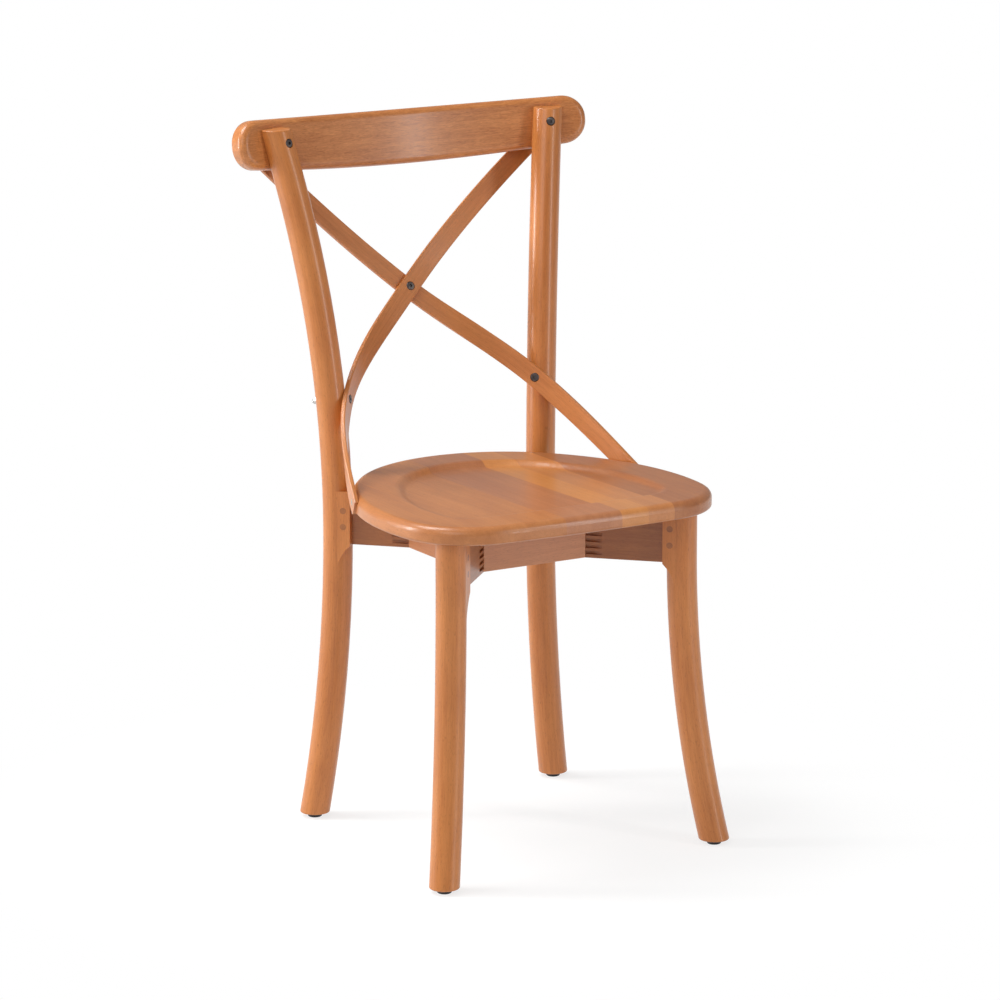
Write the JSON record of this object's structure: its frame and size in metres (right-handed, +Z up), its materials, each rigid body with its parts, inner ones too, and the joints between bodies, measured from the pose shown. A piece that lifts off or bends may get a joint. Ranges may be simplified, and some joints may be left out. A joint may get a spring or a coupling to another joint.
{
  "type": "cross back chair",
  "caption": "Wooden dining chair with bent round legs, a curved crest rail, two crossed back strips and a dished seat of edge-glued boards.",
  "frame": {"origin": "on the floor, at the middle of the chair's bounding box seen from above", "axes": "+X to the chair's right side seen from the front, +Y towards its back, +Z up"},
  "size_m": [0.511, 0.5058, 0.9016],
  "materials": {
    "leg_wood": "stained beech, satin lacquer, grain along the leg",
    "rail_wood": "stained beech, satin lacquer, grain along the rail",
    "strip_wood": "stained beech, satin lacquer, grain along the strip",
    "frame_wood": "stained beech, satin lacquer",
    "peg_wood": "end grain of a wooden peg, satin lacquer",
    "seat_wood_mid": "stained beech board, satin lacquer, grain from front to back",
    "seat_wood_pink": "paler pinkish beech board, satin lacquer",
    "seat_wood_light": "palest beech board, satin lacquer",
    "seat_wood_dark": "darker beech board, satin lacquer",
    "black_steel": "blackened steel, half matt",
    "bright_steel": "bright plated nut",
    "zinc_steel": "zinc plated steel",
    "glide_plastic": "black plastic"
  },
  "bodies": {
    "root": {"back_leg_left": "leg_wood", "back_leg_right": "leg_wood", "crest_bolts": "black_steel", "crest_inserts": "zinc_steel", "crest_rail": "rail_wood", "cross_strip_front": "strip_wood", "cross_strip_rear": "strip_wood", "crossing_bolt": "black_steel", "crossing_cap_nut": "bright_steel", "frame_arm_back_left": "frame_wood", "frame_arm_back_right": "frame_wood", "frame_arm_front_left": "frame_wood", "frame_arm_front_right": "frame_wood", "frame_pegs": "peg_wood", "frame_rail_back": "frame_wood", "frame_rail_front": "frame_wood", "frame_rail_left": "frame_wood", "frame_rail_right": "frame_wood", "front_leg_left": "leg_wood", "front_leg_right": "leg_wood", "glide_back_left": "glide_plastic", "glide_back_right": "glide_plastic", "glide_front_left": "glide_plastic", "glide_front_right": "glide_plastic", "glide_nails": "zinc_steel", "seat_board_1": "seat_wood_mid", "seat_board_2": "seat_wood_mid", "seat_board_3": "seat_wood_mid", "seat_board_4": "seat_wood_mid", "seat_board_5": "seat_wood_pink", "seat_board_6": "seat_wood_light", "seat_board_7": "seat_wood_dark", "seat_board_8": "seat_wood_dark", "seat_board_9": "seat_wood_dark", "seat_screws": "zinc_steel", "strip_bolts": "black_steel", "strip_cap_nuts": "bright_steel", "strip_screws": "zinc_steel"}
  },
  "joints": []
}
